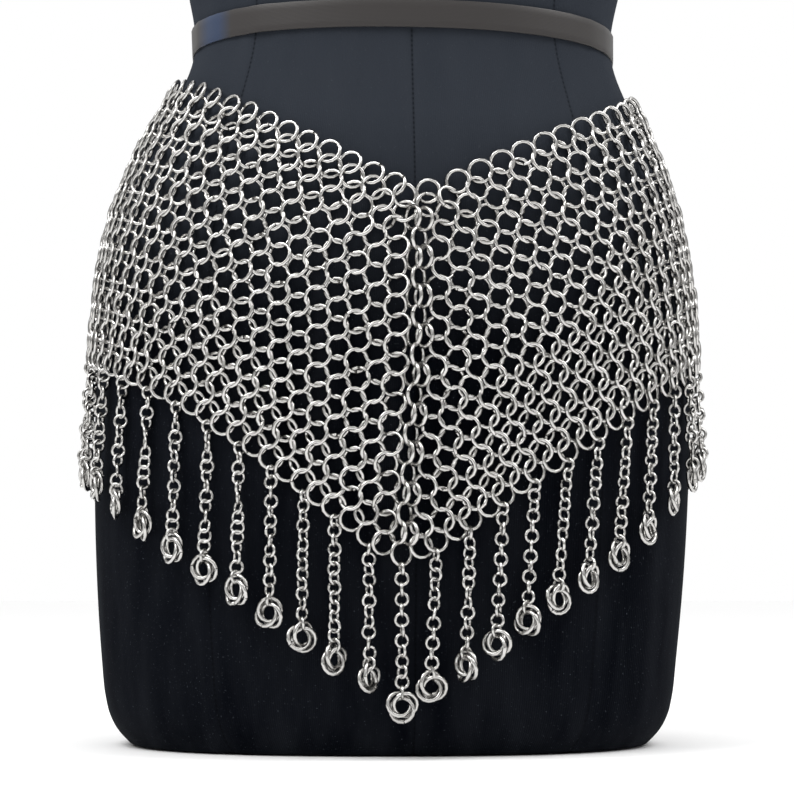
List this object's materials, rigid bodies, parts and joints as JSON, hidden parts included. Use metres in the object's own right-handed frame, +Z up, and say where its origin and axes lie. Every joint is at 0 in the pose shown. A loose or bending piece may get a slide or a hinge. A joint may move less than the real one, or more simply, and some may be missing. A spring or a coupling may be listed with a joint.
{
  "type": "chainmail skirt on a dress form",
  "caption": "Hip skirt of butted-ring mail, V-shaped at front and back, edged with hanging chains tipped with ring knots, on a fabric-covered limbless dress form.",
  "frame": {"origin": "centre of the box around the whole object, on the flat underside of the dress form", "axes": "+Z up the form towards the neck, -Y towards the front of the skirt, +X to the viewer's right"},
  "size_m": [0.365, 0.267, 0.855],
  "materials": {
    "mail": "satin wire, butted rings",
    "jersey": "fine matt black jersey",
    "tape": "taupe satin tape"
  },
  "bodies": {
    "root": {"dress_form": "jersey", "waist_tape": "tape", "mail_left": "mail", "mail_right": "mail", "seam_front": "mail", "seam_back": "mail", "chain_front": "mail", "chain_back": "mail", "chain_left_01": "mail", "chain_left_02": "mail", "chain_left_03": "mail", "chain_left_04": "mail", "chain_left_05": "mail", "chain_left_06": "mail", "chain_left_07": "mail", "chain_left_08": "mail", "chain_left_09": "mail", "chain_left_10": "mail", "chain_left_11": "mail", "chain_left_12": "mail", "chain_left_13": "mail", "chain_left_14": "mail", "chain_left_15": "mail", "chain_left_16": "mail", "chain_left_17": "mail", "chain_left_18": "mail", "chain_left_19": "mail", "chain_left_20": "mail", "chain_left_21": "mail", "chain_left_22": "mail", "chain_left_23": "mail", "chain_left_24": "mail", "chain_right_01": "mail", "chain_right_02": "mail", "chain_right_03": "mail", "chain_right_04": "mail", "chain_right_05": "mail", "chain_right_06": "mail", "chain_right_07": "mail", "chain_right_08": "mail", "chain_right_09": "mail", "chain_right_10": "mail", "chain_right_11": "mail", "chain_right_12": "mail", "chain_right_13": "mail", "chain_right_14": "mail", "chain_right_15": "mail", "chain_right_16": "mail", "chain_right_17": "mail", "chain_right_18": "mail", "chain_right_19": "mail", "chain_right_20": "mail", "chain_right_21": "mail", "chain_right_22": "mail", "chain_right_23": "mail", "chain_right_24": "mail"}
  },
  "joints": []
}
